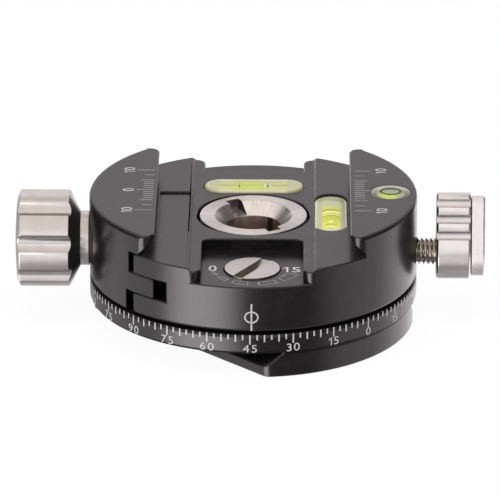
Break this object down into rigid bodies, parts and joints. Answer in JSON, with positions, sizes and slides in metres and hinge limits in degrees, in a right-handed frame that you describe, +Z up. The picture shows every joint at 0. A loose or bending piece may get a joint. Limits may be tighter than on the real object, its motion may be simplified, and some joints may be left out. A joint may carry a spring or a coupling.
{
  "type": "panoramic tripod head",
  "caption": "Low round panoramic tripod head with a dovetail plate clamp, spirit levels, a panning lock, click-stop dial and a dovetail foot.",
  "frame": {"origin": "on the pan axis in the plane of the foot, at the mouth of the tripod thread", "axes": "+Z up along the pan axis, +X along the clamp screw from the moving jaw to the fixed jaw and pan lock, -Y to the front with the click-stop dial"},
  "size_m": [0.0859, 0.06, 0.0243],
  "materials": {
    "black_anodised": "fine bead-blasted black anodising",
    "silver_anodised": "satin clear anodising",
    "steel": "turned stainless steel",
    "brass": "turned",
    "bearing_plastic": "smooth self-lubricating plastic",
    "clear_acrylic": "polished clear acrylic",
    "level_liquid": "yellow-green level liquid"
  },
  "bodies": {
    "base": {"pan_base": "black_anodised", "tripod_bushing": "steel", "spindle": "silver_anodised", "glide_ring": "bearing_plastic"},
    "platform": {"clamp_body": "black_anodised", "thrust_washer": "bearing_plastic", "side_level_vial": "clear_acrylic", "side_level_fluid": "level_liquid", "bridge_level_vial": "clear_acrylic", "bridge_level_fluid": "level_liquid", "round_level_vial": "clear_acrylic", "round_level_fluid": "level_liquid", "detent_spring": "steel"},
    "jaw": {"moving_jaw": "black_anodised", "guide_pins": "steel", "jaw_springs": "steel"},
    "clamp_knob": {"clamp_knob": "silver_anodised", "clamp_screw": "steel", "knob_washer": "bearing_plastic"},
    "brake": {"brake_shoe": "brass"},
    "lock_knob": {"pan_lock_knob": "silver_anodised", "pan_lock_cap": "silver_anodised", "pan_lock_screw": "steel"},
    "selector": {"selector_dial": "silver_anodised"},
    "ball": {"detent_ball": "steel"}
  },
  "joints": [
    {"name": "pan_rotation", "type": "hinge", "parent": "base", "child": "platform", "pos_m": [0, 0, 0], "axis": [0, 0, 1], "continuous": true},
    {"name": "jaw_slide", "type": "slide", "parent": "platform", "child": "jaw", "axis": [-1, 0, 0], "range_m": [-0.0007, 0.0032], "deforming": ["jaw_springs"]},
    {"name": "knob_turn", "type": "hinge", "parent": "jaw", "child": "clamp_knob", "pos_m": [-0.035, 0, 0.0151], "axis": [-1, 0, 0], "range_deg": [-252.5, 1152.5]},
    {"name": "brake_slide", "type": "slide", "parent": "platform", "child": "brake", "axis": [1, 0, 0], "range_m": [-0.0002, 0.0016]},
    {"name": "lock_turn", "type": "hinge", "parent": "brake", "child": "lock_knob", "pos_m": [0.035, 0, 0.01285], "axis": [1, 0, 0], "range_deg": [-90.5, 720.5]},
    {"name": "selector_turn", "type": "hinge", "parent": "platform", "child": "selector", "pos_m": [0, -0.0212, 0.017], "axis": [0, 0, 1], "range_deg": [-48, 111]},
    {"name": "detent_ball_travel", "type": "slide", "parent": "platform", "child": "ball", "axis": [0, 0, 1], "range_m": [0, 0.0005], "stiffness_N_per_m": 1500, "deforming": ["detent_spring"]}
  ],
  "couplings": [
    {"joint": "knob_turn", "follows": "jaw_slide", "rad_per_m": 6283.2},
    {"joint": "lock_turn", "follows": "brake_slide", "rad_per_m": 7854}
  ]
}
